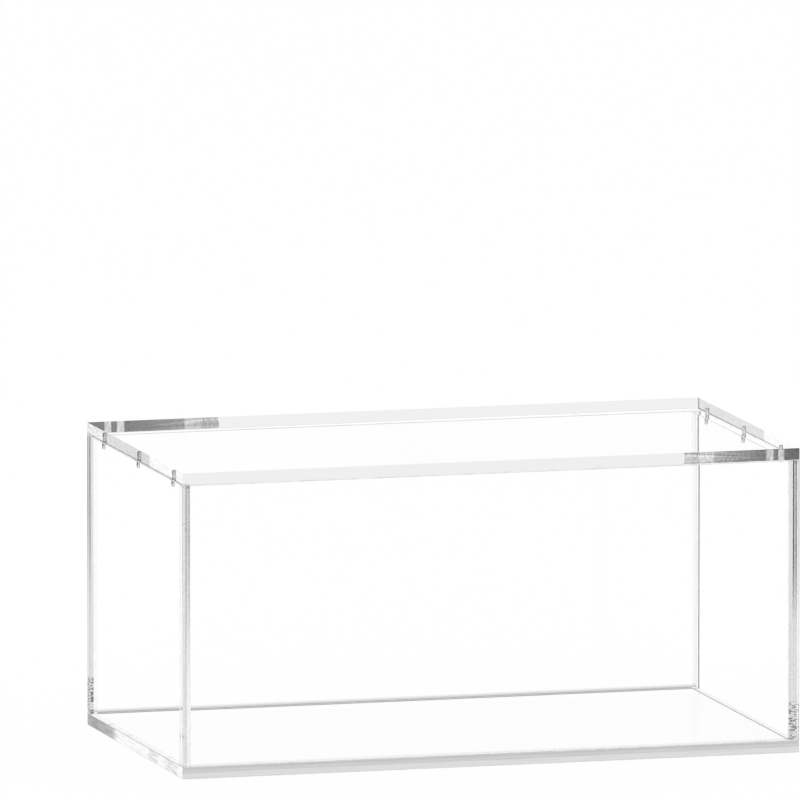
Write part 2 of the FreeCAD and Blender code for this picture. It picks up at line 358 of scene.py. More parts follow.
def ring_faces(rows, columns):
    """Quads of a grid whose columns close on themselves: each point, the next column, the next row."""
    row, column = np.meshgrid(np.arange(rows - 1), np.arange(columns), indexing="ij")
    after = (column + 1) % columns
    corners = (row * columns + column, row * columns + after,
               (row + 1) * columns + after, (row + 1) * columns + column)
    return np.stack(corners, axis=-1).reshape(-1, 4)


def circle(centre, radius, steps):
    """Points round a circle: the centre plus the radius times the cosine and sine of the turn."""
    turn = np.arange(steps) * 2 * np.pi / steps
    return np.asarray(centre) + radius * np.stack((np.cos(turn), np.sin(turn)), axis=1)


def flat_face(loops, level, keep):
    """Triangles that fill the first loop at one height, without the loops inside it or cut along them."""
    points = np.concatenate(loops)
    ends = np.cumsum([len(loop) for loop in loops])
    edges = []
    for end, loop in zip(ends, loops):
        index = np.arange(end - len(loop), end)
        edges += np.stack((index, np.roll(index, -1)), axis=1).tolist()
    spots, _, triangles, *_ = delaunay_2d_cdt([Vector(p) for p in points], edges, [], keep, WELD * MM)
    flat = np.array([tuple(spot) for spot in spots])
    vertices = np.column_stack((flat, np.full(len(flat), level)))
    return vertices, np.array(triangles)


def lofted(rings, levels):
    """A surface through rings of flat points, each ring at a height of its own."""
    rows, columns = rings.shape[:2]
    heights = np.broadcast_to(levels[:, None, None], (rows, columns, 1))
    return np.concatenate((rings, heights), axis=-1).reshape(-1, 3), ring_faces(rows, columns)


def turned(centre, radii, levels, steps):
    """Surface of revolution about an upright axis: each radius of the profile carried round a circle."""
    return lofted(circle(centre, radii[:, None, None], steps), levels)


def sheet_surface(lo, hi, low, high, settings, cuts=(), seats=(), seats_up=True, inner=None):
    """A sheet between two corners: the side profile carried along the outline, with two flat faces.

    seats are the centres, radius and depth of blind holes in the top, or in the underside where seats_up is
    false. Each is a cylinder that ends in the drill's cone. inner is the half size of a rectangle along which
    the top is cut.
    """
    middle = (np.asarray(lo) + np.asarray(hi)) / 2
    half = (np.asarray(hi) - np.asarray(lo)) / 2
    height = 2 * half[2]
    steps = settings.round_steps
    corner = max(low, high) * CORNER_SPARE
    points, normals = outline(half[:2], corner, steps, cuts)
    offset, level = edge_profile(height, low, high, steps)
    rings = points[None] - offset[:, None, None] * normals[None]
    parts = [lofted(rings, level)]
    holes = []
    for spot, radius, depth in seats:
        where = np.asarray(spot) - middle[:2]
        holes.append(circle(where, radius, settings.seat_steps))
        tip = radius / math.tan(settings.drill_point / 2)
        radii = np.array((radius, radius, 0.0))
        depths = np.array((0.0, depth, depth + tip))
        parts.append(turned(where, radii, height - depths if seats_up else depths, settings.seat_steps))
    extra = [] if inner is None else [np.asarray(inner) * QUADRANTS]
    top_holes = holes if seats_up else []
    low_holes = [] if seats_up else holes
    parts.append(flat_face([rings[-1], *top_holes, *extra], height, KEEP_INNER if extra else DROP_INNER))
    parts.append(flat_face([rings[0], *low_holes], 0.0, DROP_INNER))
    vertices, faces = joined(parts)
    return vertices + np.array((middle[0], middle[1], lo[2])), faces


def joined(parts):
    """One list of vertices and one of faces from several surfaces."""
    vertices = np.concatenate([part[0] for part in parts])
    faces, start = [], 0
    for points, polygons in parts:
        faces += (polygons + start).tolist()
        start += len(points)
    return vertices, faces


def rod_surface(lo, hi, rim, settings):
    """A rod with rounded rims about an upright axis, turned from its half profile, with closed ends."""
    middle = (np.asarray(lo) + np.asarray(hi)) / 2
    radius = (hi[0] - lo[0]) / 2
    offset, level = edge_profile(hi[2] - lo[2], rim, rim, settings.round_steps)
    radii = np.concatenate(((0.0,), radius - offset, (0.0,)))
    levels = lo[2] + np.concatenate((level[:1], level, level[-1:]))
    return joined([turned(middle[:2], radii, levels, settings.turn_steps)])


def add_piece(name, surface, materials, zone=None):
    """A welded, outward-facing object of a surface, with each face's material from zone(centres, normals)."""
    vertices, faces = surface
    mesh = bpy.data.meshes.new(name)
    mesh.from_pydata(vertices.tolist(), [], faces)
    shape = bmesh.new()
    shape.from_mesh(mesh)
    bmesh.ops.remove_doubles(shape, verts=shape.verts[:], dist=WELD)
    bmesh.ops.recalc_face_normals(shape, faces=shape.faces[:])
    shape.to_mesh(mesh)
    shape.free()
    for material in materials:
        mesh.materials.append(material)
    count = len(mesh.polygons)
    normals, centres = np.empty(count * 3), np.empty(count * 3)
    mesh.polygons.foreach_get("normal", normals)
    mesh.polygons.foreach_get("center", centres)
    normals, centres = normals.reshape(-1, 3), centres.reshape(-1, 3)
    mesh.polygons.foreach_set("use_smooth", curved(normals))
    if zone:
        mesh.polygons.foreach_set("material_index", zone(centres, normals).astype(np.int32))
    mesh.update()
    piece = bpy.data.objects.new(name, mesh)
    bpy.context.scene.collection.objects.link(piece)
    return piece


def seat_of(node, settings):
    """Centre, radius and depth of the blind hole that holds a magnet, from the magnet's own box."""
    lo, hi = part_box(node)
    centre = ((lo[0] + hi[0]) / 2, (lo[1] + hi[1]) / 2)
    return centre, (hi[0] - lo[0]) / 2 + settings.glue_film, hi[2] - lo[2] + settings.glue_film


# Materials

def put(tree, kind, inputs=None, **options):
    """A new node with its options set, and its inputs set or linked."""
    made = tree.nodes.new(kind)
    for name, value in options.items():
        setattr(made, name, value)
    for key, value in (inputs or {}).items():
        if isinstance(value, bpy.types.NodeSocket):
            tree.links.new(value, made.inputs[key])
        else:
            made.inputs[key].default_value = value
    return made


def maths(tree, operation, *values):
    """The output of a Math node."""
    return put(tree, "ShaderNodeMath", dict(enumerate(values)), operation=operation).outputs[0]


def product(tree, first, *others):
    """The product of several values."""
    for other in others:
        first = maths(tree, "MULTIPLY", first, other)
    return first


def share_past(tree, value, start, reach):
    """How far a value lies past the start, as a share of the reach."""
    return maths(tree, "DIVIDE", maths(tree, "SUBTRACT", value, start), reach)


def part_way(tree, share, start, end):
    """The value that lies a share of the way from the start to the end."""
    inputs = {"Value": share, "To Min": start, "To Max": end}
    return put(tree, "ShaderNodeMapRange", inputs).outputs["Result"]


def step_between(tree, value, start, end, low=0.0, high=1.0):
    """A smooth step of a value from low at start to high at end."""
    inputs = {"Value": value, "From Min": start, "From Max": end, "To Min": low, "To Max": high}
    return put(tree, "ShaderNodeMapRange", inputs, interpolation_type="SMOOTHSTEP").outputs["Result"]


def mix_colours(tree, factor, first, second, blend="MIX"):
    """The output of a colour Mix node."""
    inputs = {"Factor": factor, "A": first, "B": second}
    return put(tree, "ShaderNodeMix", inputs, data_type="RGBA", blend_type=blend).outputs["Result"]


def mix_shaders(tree, factor, first, second):
    """The output of a Mix Shader node."""
    return put(tree, "ShaderNodeMixShader", {0: factor, 1: first, 2: second}).outputs[0]


def grey(tone):
    """An opaque grey."""
    return (tone, tone, tone, 1.0)


def tone_ramp(tree, value, stops):
    """A grey that runs through the stops, each a place and a tone, as a value goes from 0 to 1."""
    node = put(tree, "ShaderNodeValToRGB", {"Fac": value})
    elements = node.color_ramp.elements
    for place, _ in stops[1:-1]:
        elements.new(place)
    for element, (place, tone) in zip(elements, stops):
        element.position = place
        element.color = grey(tone)
    return node.outputs["Color"]


def either_ramp(tree, choice, share, first, second):
    """The tone of the first stops where the choice is nought, and of the second where it is one."""
    return mix_colours(tree, choice, tone_ramp(tree, share, first), tone_ramp(tree, share, second))


def object_spot(tree):
    """A piece's own coordinates, whole and as X, Y and Z."""
    place = put(tree, "ShaderNodeTexCoord").outputs["Object"]
    parts = put(tree, "ShaderNodeSeparateXYZ", {0: place})
    return Spot(place, *parts.outputs)


def new_group(name, inputs, outputs):
    """A shader node group with named sockets, and its input and output nodes."""
    tree = bpy.data.node_groups.new(name, "ShaderNodeTree")
    for label, kind, default in inputs:
        socket = tree.interface.new_socket(label, in_out="INPUT", socket_type=kind)
        if default is not None:
            socket.default_value = default
    for label, kind in outputs:
        tree.interface.new_socket(label, in_out="OUTPUT", socket_type=kind)
    return tree, tree.nodes.new("NodeGroupInput"), tree.nodes.new("NodeGroupOutput")


def stretched_noise(tree, given, detail):
    """Noise on a group's coordinates, which its Stretch multiplies."""
    spread = put(tree, "ShaderNodeVectorMath",
                 {0: given.outputs["Vector"], 1: given.outputs["Stretch"]}, operation="MULTIPLY")
    return put(tree, "ShaderNodeTexNoise",
               {"Vector": spread.outputs[0], "Scale": 1.0, "Detail": detail}).outputs["Fac"]


def streak_group(name="polish_streaks"):
    """Fine marks drawn out along one direction: noise on coordinates that are stretched by a vector."""
    if name in bpy.data.node_groups:
        return bpy.data.node_groups[name]
    tree, given, made = new_group(
        name,
        (("Vector", "NodeSocketVector", None), ("Stretch", "NodeSocketVector", (1.0, 1.0, 1.0)),
         ("Low", "NodeSocketFloat", 0.0), ("High", "NodeSocketFloat", 1.0)),
        (("Value", "NodeSocketFloat"), ("Height", "NodeSocketFloat")))
    detail, lowest, highest = 3.0, 0.35, 0.65
    noise = stretched_noise(tree, given, detail)
    value = put(tree, "ShaderNodeMapRange", {
        "Value": noise, "From Min": lowest, "From Max": highest,
        "To Min": given.outputs["Low"], "To Max": given.outputs["High"]}, clamp=True)
    tree.links.new(value.outputs["Result"], made.inputs["Value"])
    tree.links.new(noise, made.inputs["Height"])
    return tree


def streak_node(tree, place, marks):
    """The polish streaks, placed in a material with the fineness and range of its marks."""
    stretch, low, high = marks
    inputs = {"Vector": place, "Stretch": stretch, "Low": low, "High": high}
    return put(tree, "ShaderNodeGroup", inputs, node_tree=streak_group())


def streaks(tree, place, marks):
    """The value of the polish streaks."""
    return streak_node(tree, place, marks).outputs["Value"]


def scuff_group(name="fine_scuffs"):
    """Sparse hair scratches: the thin level lines of a noise that is drawn out one way, on a patchy mask."""
    if name in bpy.data.node_groups:
        return bpy.data.node_groups[name]
    tree, given, made = new_group(
        name,
        (("Vector", "NodeSocketVector", None), ("Stretch", "NodeSocketVector", (40.0, 40.0, 40.0)),
         ("Strength", "NodeSocketFloat", 1.0)),
        (("Roughness", "NodeSocketFloat"), ("Height", "NodeSocketFloat")))
    detail, level, hair = 2.0, 0.5, 0.004
    patch_scale, patch_detail, patch_start, patch_end = 14.0, 1.0, 0.56, 0.68
    noise = stretched_noise(tree, given, detail)
    off = maths(tree, "ABSOLUTE", maths(tree, "SUBTRACT", noise, level))
    line = step_between(tree, off, 0.0, hair, 1.0, 0.0)
    patch = put(tree, "ShaderNodeTexNoise",
                {"Vector": given.outputs["Vector"], "Scale": patch_scale, "Detail": patch_detail})
    where = step_between(tree, patch.outputs["Fac"], patch_start, patch_end)
    tree.links.new(product(tree, line, where, given.outputs["Strength"]), made.inputs["Roughness"])
    tree.links.new(noise, made.inputs["Height"])
    return tree


def new_material(name):
    """A material with an empty node tree, that tree and its output node."""
    material = bpy.data.materials.new(name)
    material.use_nodes = True
    material.node_tree.nodes.clear()
    return material, material.node_tree, material.node_tree.nodes.new("ShaderNodeOutputMaterial")


def light_path(tree, fact):
    """One of the facts that a Light Path node tells of a ray."""
    return put(tree, "ShaderNodeLightPath").outputs[fact]


def principled(tree, plain, inputs=None):
    """The output of a Principled shader, with inputs that may replace the plain ones."""
    return put(tree, "ShaderNodeBsdfPrincipled", {**plain, **(inputs or {})}).outputs[0]


def glass_shader(tree, settings, inputs=None):
    """Clear acrylic."""
    plain = {"Base Color": WHITE, "Transmission Weight": 1.0, "IOR": settings.refraction, "Roughness": 0.0}
    return principled(tree, plain, inputs)


def matte_shader(tree, colour, inputs=None):
    """A surface without any gloss."""
    return principled(tree, {"Base Color": colour, "Roughness": 1.0, "Specular IOR Level": 0.0}, inputs)


def metal_shader(tree, colour, roughness):
    """Bright metal, with no white at its rim."""
    return principled(tree, {
        "Base Color": colour, "Metallic": 1.0, "Roughness": roughness, "Specular Tint": BLACK})


def see_through(tree, tint=1.0):
    """The output of a Transparent shader in a grey."""
    return put(tree, "ShaderNodeBsdfTransparent", {"Color": grey(tint)}).outputs[0]


def with_clear_shadow(tree, shader, tint):
    """The shader, but one that lets shadow rays through."""
    return mix_shaders(tree, light_path(tree, "Is Shadow Ray"), shader, see_through(tree, tint))


def film_shader(tree, settings, tone):
    """A dark film that lets a share of the light, its tone, straight through: the painted shade on edges and
    seams, and the cement's haze.
    """
    cover = put(tree, "ShaderNodeMath", {0: 1.0, 1: tone}, operation="SUBTRACT", use_clamp=True)
    return matte_shader(tree, (*settings.film_colour, 1.0), {"Alpha": cover.outputs[0]})


def from_within(tree):
    """One where a face is met from within its sheet, or else nought."""
    return put(tree, "ShaderNodeNewGeometry").outputs["Backfacing"]


def mirrored(tree):
    """One for light that has been thrown back by a surface on its way to the camera, or else nought."""
    return maths(tree, "GREATER_THAN", light_path(tree, "Glossy Depth"), BETWEEN)


def clear_from_inside(tree, shader):
    """The shader, but one that the camera looks straight through from within the sheet."""
    inside = product(tree, light_path(tree, "Is Camera Ray"), from_within(tree))
    return mix_shaders(tree, inside, shader, see_through(tree))


def seen_through(tree, settings, tone, mirror=None):
    """A film in a tone with a faint gloss outside, but glass to light that has been thrown back.

    Where mirror is one, the polished outside throws the light back in the same tone: a painted reflection.
    """
    gloss = put(tree, "ShaderNodeBsdfGlossy", {"Color": WHITE, "Roughness": 0.0})
    fresnel = put(tree, "ShaderNodeFresnel", {"IOR": settings.lid_sheen})
    outside = maths(tree, "SUBTRACT", 1.0, from_within(tree))
    shine = product(tree, fresnel.outputs[0], outside)
    straight = mix_shaders(tree, shine, film_shader(tree, settings, tone), gloss.outputs[0])
    if mirror is not None:
        polished = metal_shader(tree, tone, 0.0)
        straight = mix_shaders(tree, product(tree, mirror, outside), straight, polished)
    return mix_shaders(tree, mirrored(tree), straight, glass_shader(tree, settings))


def along_from_corner(tree, half, across, along, turn):
    """Distance along an edge from one corner: half the edge plus or minus the place, by the edge's side."""
    return maths(tree, "ADD", half, product(tree, maths(tree, "SIGN", across), turn, along))


def height_fade(tree, spot, shares, foot=0.0):
    """A smooth step from the value at the foot to one, between two shares of the case's height."""
    return step_between(tree, spot.z, shares[0] * CASE_TOP, shares[1] * CASE_TOP, foot, 1.0)


def dark_corners(tree, spot):
    """A mask of two opposite corners of the case, where the seams and wall edges carry darker painted shade
    and bubbles were caught.
    """
    return maths(tree, "LESS_THAN", product(tree, spot.x, spot.y), 0.0)


def with_bubbles(tree, settings, spot, tone):
    """The tone, with dark bubbles that were caught low in the seams of two opposite corners."""
    top = settings.bubble_height + BASE_TOP
    low = step_between(tree, spot.z, BUBBLE_FADE * top, top, BUBBLE_COVER, 0.0)
    spots = step_between(tree, streaks(tree, spot.place, BUBBLES), *BUBBLE_EDGE)
    shown = product(tree, spots, low, dark_corners(tree, spot))
    return mix_colours(tree, shown, tone, grey(BUBBLE_TONE))


def face_inputs(tree, place):
    """Hair scratches in the roughness and a slight waviness in the normal of a sheet's faces."""
    inputs = {"Vector": place, "Stretch": SCUFF_STRETCH, "Strength": SCUFF_STRENGTH}
    marks = put(tree, "ShaderNodeGroup", inputs, node_tree=scuff_group())
    wave = streak_node(tree, place, FACE_WAVE)
    bump = put(tree, "ShaderNodeBump", {
        "Height": wave.outputs["Height"], "Strength": WAVE_STRENGTH, "Distance": WAVE_DEPTH})
    return {"Roughness": marks.outputs["Roughness"], "Normal": bump.outputs[0]}


def clear_face(tree, settings, spot, refraction, foot=None):
    """Clear faces of a sheet, in the colour that foot(share) gives on the way up the cement, if any."""
    inputs = face_inputs(tree, spot.place)
    if foot:
        share = share_past(tree, spot.z, BASE_TOP, settings.cement_foot)
        inputs["Base Color"] = mix_colours(tree, mirrored(tree), foot(share), WHITE)
    return clear_from_inside(tree, glass_shader(tree, settings, {**inputs, "IOR": refraction}))


def base_face(tree, settings, spot):
    """Faces of the base plate."""
    return clear_face(tree, settings, spot, settings.base_refraction)


def long_face(tree, settings, spot):
    """Faces of the long walls, with a dark cement line at the foot, which is short and pale in front."""
    def foot(share):
        front = maths(tree, "LESS_THAN", spot.y, 0.0)
        speed = part_way(tree, front, 1.0, FRONT_FOOT_SPEED)
        tone = tone_ramp(tree, product(tree, share, speed), LONG_FOOT)
        return mix_colours(tree, product(tree, front, FRONT_FOOT_PALE), tone, WHITE)
    return clear_face(tree, settings, spot, settings.refraction, foot)


def end_face(tree, settings, spot):
    """Faces of the end panels, with two fine cement lines at the foot inside."""
    def foot(share):
        middle = HALF_WIDTH - WALL / 2
        inside = maths(tree, "LESS_THAN", maths(tree, "ABSOLUTE", spot.x), middle)
        shown = maths(tree, "GREATER_THAN", inside, from_within(tree))
        return mix_colours(tree, shown, WHITE, tone_ramp(tree, share, END_FOOT))
    return clear_face(tree, settings, spot, settings.end_refraction, foot)


def lid_face(tree, settings, spot):
    """Faces of the lid, a little cloudy."""
    return seen_through(tree, settings, streaks(tree, spot.place, LID_CLOUD))


def lid_long_edge(tree, settings, spot):
    """Lid front and back edges in painted shade; near one corner a dark painted reflection with two pale gaps
    and a fan of streaks.
    """
    within = from_within(tree)
    reach = part_way(tree, within, settings.lid_dark_outside, settings.lid_dark_inside)
    away = along_from_corner(tree, HALF_WIDTH, spot.y, spot.x, 1.0)
    share = maths(tree, "DIVIDE", away, reach)
    tone = either_ramp(tree, within, share, LID_REFLECTION_OUTSIDE, LID_REFLECTION_INSIDE)
    slant = product(tree, away, settings.lid_dark_slant)
    under = maths(tree, "GREATER_THAN", maths(tree, "SUBTRACT", CASE_TOP, spot.z), slant)
    tone = mix_colours(tree, product(tree, under, within), tone, WHITE)
    run = maths(tree, "MAXIMUM", maths(tree, "SUBTRACT", away, settings.fan_start), MM)
    slope = share_past(tree, spot.z, LID_LOW + settings.fan_height, run)
    fan = put(tree, "ShaderNodeCombineXYZ", {"X": slope, "Y": spot.y}).outputs[0]
    marks = product(tree, streaks(tree, fan, LID_FAN), streaks(tree, spot.place, LID_BARS))
    marks = mix_colours(tree, maths(tree, "LESS_THAN", away, reach), WHITE, marks)
    dark = maths(tree, "LESS_THAN", away, settings.lid_dark_outside)
    return seen_through(tree, settings, product(tree, tone, marks, settings.lid_edge), dark)


def lid_end_edge(tree, settings, spot):
    """End edges of the lid in painted shade: one stretch is grey, with other lengths outside and through the
    lid.
    """
    outside = along_from_corner(tree, HALF_DEPTH, spot.x, spot.y, 1.0)
    inside = along_from_corner(tree, HALF_DEPTH, spot.x, spot.y, -1.0)
    tone = mix_colours(tree, from_within(tree),
                       tone_ramp(tree, maths(tree, "DIVIDE", outside, 2 * HALF_DEPTH), LID_END_OUTSIDE),
                       tone_ramp(tree, maths(tree, "DIVIDE", inside, 2 * HALF_DEPTH), LID_END_INSIDE))
    start, end = LID_LINE
    low = step_between(tree, spot.z, LID_LOW + start, LID_LOW + end, settings.lid_low_line, 1.0)
    lines = streaks(tree, spot.place, LID_END_LINES)
    return seen_through(tree, settings, product(tree, tone, lines, low))


def base_edge(tree, settings, spot, share, stops, marks):
    """Edges of the base plate, in marked tones of painted shade from outside and white from within."""
    tone = product(tree, tone_ramp(tree, share, stops), streaks(tree, spot.place, marks))
    return seen_through(tree, settings, mix_colours(tree, from_within(tree), tone, WHITE))


def base_long_edge(tree, settings, spot):
    """Front and back edges of the base plate, in two greys of painted shade, darker above, with a fine grain
    along them.
    """
    share = maths(tree, "DIVIDE", spot.z, BASE_TOP)
    return base_edge(tree, settings, spot, share, BASE_LONG_EDGE, BASE_LONG_LINES)


def base_end_edge(tree, settings, spot):
    """End edges of the base plate in painted shade, streaked grey near one corner and clear with pale patches
    past it.
    """
    away = along_from_corner(tree, HALF_DEPTH, spot.x, spot.y, 1.0)
    share = maths(tree, "DIVIDE", away, 2 * HALF_DEPTH)
    return base_edge(tree, settings, spot, share, BASE_END_EDGE, BASE_END_LINES)


def wall_edge(tree, settings, spot):
    """Edges of the walls: clear tops, and uprights in painted shade that is greyer upwards at two opposite
    corners.
    """
    fade = height_fade(tree, spot, WALL_FADE, WALL_FADE_FOOT)
    upright = maths(tree, "LESS_THAN", spot.z, LID_LOW - settings.free_edge)
    share = product(tree, dark_corners(tree, spot), fade, upright, streaks(tree, spot.place, WALL_LINES))
    across = share_past(tree, spot.y, WALL_INSIDE[1], WALL)
    rim = mix_colours(tree, share, WHITE, tone_ramp(tree, across, BACK_WALL_END))
    tone = product(tree, part_way(tree, share, 1.0, settings.wall_edge), rim)
    return seen_through(tree, settings, with_bubbles(tree, settings, spot, tone))


def cement_joint(tree, settings, spot):
    """Cement and glue that join the sheets so well that light goes straight through, but for a faint haze."""
    return film_shader(tree, settings, product(tree, streaks(tree, spot.place, CEMENT_HAZE), settings.cement))


def seam_cement_and_shade(tree, settings, spot):
    """Upright seams: painted shade in fine lines that fade downwards, in tones of their own at each corner,
    bubbles at two.
    """
    across = maths(tree, "MODULO", maths(tree, "ADD", spot.x, HALF_WIDTH), 2 * HALF_WIDTH - WALL)
    share = maths(tree, "DIVIDE", across, WALL)
    back = maths(tree, "GREATER_THAN", spot.y, 0.0)
    lines = either_ramp(tree, back, share, SEAM_FRONT_RIGHT, SEAM_BACK_LEFT)
    tone = mix_colours(tree, height_fade(tree, spot, SEAM_FADE), grey(settings.seam_foot), lines)
    tone = with_bubbles(tree, settings, spot, tone)
    fade = height_fade(tree, spot, SEAM_FRONT_LEFT_FADE)
    front_left = either_ramp(tree, fade, share, SEAM_FRONT_LEFT_FOOT, SEAM_FRONT_LEFT)
    tone = mix_colours(tree, dark_corners(tree, spot), front_left, tone)
    cement = grey(settings.cement)
    clear = product(tree, back, maths(tree, "GREATER_THAN", share, settings.back_seam))
    tone = mix_colours(tree, clear, tone, cement)
    back_right = product(tree, back, maths(tree, "GREATER_THAN", spot.x, 0.0))
    tone = mix_colours(tree, back_right, tone, tone_ramp(tree, share, SEAM_BACK_RIGHT))
    return film_shader(tree, settings, mix_colours(tree, mirrored(tree), tone, cement))


def rounded_edge(tree, settings, spot):
    """Rounded corners of the sheets, in painted shade by height, darker at the back, worn in places, and
    clear from within the walls.
    """
    height = maths(tree, "DIVIDE", spot.z, CASE_TOP)
    front = maths(tree, "LESS_THAN", spot.y, -WALL_INSIDE[1] + 2 * settings.free_edge)
    tone = either_ramp(tree, front, height, ROUNDED_BACK, ROUNDED_FRONT)
    colour = mix_colours(tree, 1.0, tone, streaks(tree, spot.place, EDGE_WEAR), "MULTIPLY")
    shader = glass_shader(tree, settings, {"Base Color": mix_colours(tree, mirrored(tree), colour, WHITE)})
    direct = maths(tree, "SUBTRACT", from_within(tree), mirrored(tree))
    direct = maths(tree, "GREATER_THAN", direct, BETWEEN)
    inside = product(tree, direct, maths(tree, "LESS_THAN", spot.z, LID_LOW))
    return mix_shaders(tree, inside, shader, see_through(tree))


# Each finish of the sheets, with the tint of its shadow
SHEET_FINISHES = {
    "clear_base_face": (base_face, FACE_SHADOW),
    "clear_long_face": (long_face, FACE_SHADOW),
    "clear_end_face": (end_face, FACE_SHADOW),
    "clear_lid_face": (lid_face, FACE_SHADOW),
    "lid_long_edge": (lid_long_edge, EDGE_SHADOW),
    "lid_end_edge": (lid_end_edge, EDGE_SHADOW),
    "wall_edge": (wall_edge, EDGE_SHADOW),
    "base_long_edge": (base_long_edge, FOOT_SHADOW),
    "base_end_edge": (base_end_edge, FOOT_SHADOW),
    "rounded_edge": (rounded_edge, FOOT_SHADOW),
    "cement_joint": (cement_joint, JOINT_SHADOW),
    "seam_cement_and_shade": (seam_cement_and_shade, JOINT_SHADOW),
}


def sheet_material(name):
    """The material of one of the sheets' finishes, which lets shadow rays through in its tint."""
    build, tint = SHEET_FINISHES[name]
    material, tree, end = new_material(name)
    shader = build(tree, bpy.context.scene.display_case.sheets, object_spot(tree))
    tree.links.new(with_clear_shadow(tree, shader, tint), end.inputs["Surface"])
    return material


def finishes(*names):
    """The sheets' materials of those names, each made at its first use."""
    return [bpy.data.materials.get(name) or sheet_material(name) for name in names]


def plating_material(name):
    """Bright nickel plating with faint turning marks."""
    settings = bpy.context.scene.display_case.magnets
    material, tree, end = new_material(name)
    marks = streaks(tree, object_spot(tree).place, TURNING_MARKS)
    shader = metal_shader(tree, (*settings.plating, 1.0), marks)
    tree.links.new(shader, end.inputs["Surface"])
    return material


# Which faces of a sheet are clear, polished edges or cemented

def curved(normals):
    """Faces that lie square to no axis, on the rounded edges and in the seats."""
    return np.abs(normals).max(axis=1) < SQUARE


def base_zone(centres, normals):
    """The top is cemented under the walls and clear inside them, and the sides are long and end edges."""
    inside = (np.abs(centres[:, 0]) < WALL_INSIDE[0]) & (np.abs(centres[:, 1]) < WALL_INSIDE[1])
    broad = np.abs(normals[:, 2]) > SQUARE
    cemented = (normals[:, 2] > SQUARE) & ~inside
    ends = np.abs(normals[:, 0]) > SQUARE
    return np.select((curved(normals), cemented, broad, ends), (ROUND, JOINT, FACE, END), EDGE)


def long_wall_zone(centres, normals):
    """Front and back panels: cemented below and where the end panels stop against them."""
    broad = np.abs(normals[:, 1]) > SQUARE
    inward = broad & (normals[:, 1] * centres[:, 1] < 0)
    cemented = (inward & (np.abs(centres[:, 0]) > WALL_INSIDE[0])) | (normals[:, 2] < -SQUARE)
    return np.select((curved(normals), cemented, broad), (ROUND, JOINT, FACE), EDGE)


def end_wall_zone(centres, normals):
    """End panels: cemented below, seams at both ends, and glue where the magnets sit."""
    broad = np.abs(normals[:, 0]) > SQUARE
    rim, seat_reach = 0.5 * MM, 10.0 * MM
    high = (centres[:, 2] < LID_LOW - rim) & (centres[:, 2] > LID_LOW - seat_reach)
    seat = curved(normals) & high & (np.abs(centres[:, 1]) < WALL_INSIDE[1] - 2 * rim)
    seam = np.abs(normals[:, 1]) > SQUARE
    cemented = (normals[:, 2] < -SQUARE) | seat
    return np.select((seam, cemented, curved(normals), broad), (END, JOINT, ROUND, FACE), EDGE)


def lid_zone(centres, normals):
    """The lid: clear faces, long and end edges that take in the upper roundings, and glued seats."""
    rim, level = 0.6 * MM, 1.0 - SQUARE
    middle = (np.abs(centres[:, 0]) < HALF_WIDTH - rim) & (np.abs(centres[:, 1]) < HALF_DEPTH - rim)
    broad = np.abs(normals[:, 2]) > SQUARE
    under = curved(normals) & (normals[:, 2] < -level)
    ends = np.abs(normals[:, 0]) > np.abs(normals[:, 1])
    return np.select((broad, middle, under, ends), (FACE, JOINT, ROUND, END), EDGE)


# Pieces

def dress(piece, body, node):
    """Rides the piece on its body in place of its node."""
    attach(piece, body)
    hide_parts(node)


class CASE_OT_base_plate(bpy.types.Operator):
    """Makes the base plate, cemented under the walls"""

    bl_idname = "display_case.base_plate"
    bl_label = "Base Plate"

    def execute(self, context):
        settings = context.scene.display_case.sheets
        lo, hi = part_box("base_plate")
        free, cemented = settings.free_edge, settings.cemented_edge
        surface = sheet_surface(lo, hi, free, cemented, settings, inner=WALL_INSIDE)
        materials = finishes("clear_base_face", "cement_joint", "rounded_edge", "base_long_edge",
                             "base_end_edge")
        piece = add_piece("base_plate_polished", surface, materials, base_zone)
        dress(piece, CASE_BODY, "base_plate")
        return {"FINISHED"}


class CASE_OT_long_walls(bpy.types.Operator):
    """Makes the front and back panels, full width on the base plate"""

    bl_idname = "display_case.long_walls"
    bl_label = "Front and Back Panels"

    def execute(self, context):
        settings = context.scene.display_case.sheets
        materials = finishes("clear_long_face", "cement_joint", "rounded_edge", "wall_edge")
        for node, inward in (("front_panel", 1.0), ("back_panel", -1.0)):
            lo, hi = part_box(node)
            lo = (lo[0], lo[1], lo[2] + settings.cement_film)
            hi = (hi[0], hi[1], hi[2] - settings.lid_gap)
            half = (hi[1] - lo[1]) / 2
            cuts = [((x, inward * half), (0.0, inward)) for x in (-WALL_INSIDE[0], WALL_INSIDE[0])]
            surface = sheet_surface(lo, hi, settings.cemented_edge, settings.free_edge, settings, cuts)
            piece = add_piece(node + "_polished", surface, materials, long_wall_zone)
            dress(piece, CASE_BODY, node)
        return {"FINISHED"}


class CASE_OT_end_walls(bpy.types.Operator):
    """Makes the end panels between the front and the back, with seats for magnets in their tops"""

    bl_idname = "display_case.end_walls"
    bl_label = "End Panels"

    def execute(self, context):
        settings = context.scene.display_case.sheets
        materials = finishes("clear_end_face", "cement_joint", "rounded_edge", "wall_edge", "seam_cement_and_shade")
        for side in SIDES:
            node = f"{side}_end_panel"
            lo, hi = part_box(node)
            film = settings.cement_film
            lo = (lo[0], lo[1] + film, lo[2] + film)
            hi = (hi[0], hi[1] - film, hi[2] - settings.lid_gap)
            seats = [seat_of(f"wall_magnet_{side}_{number}", settings) for number in MAGNET_NUMBERS]
            surface = sheet_surface(lo, hi, settings.cemented_edge, settings.free_edge, settings, seats=seats)
            piece = add_piece(node + "_polished", surface, materials, end_wall_zone)
            dress(piece, CASE_BODY, node)
        return {"FINISHED"}


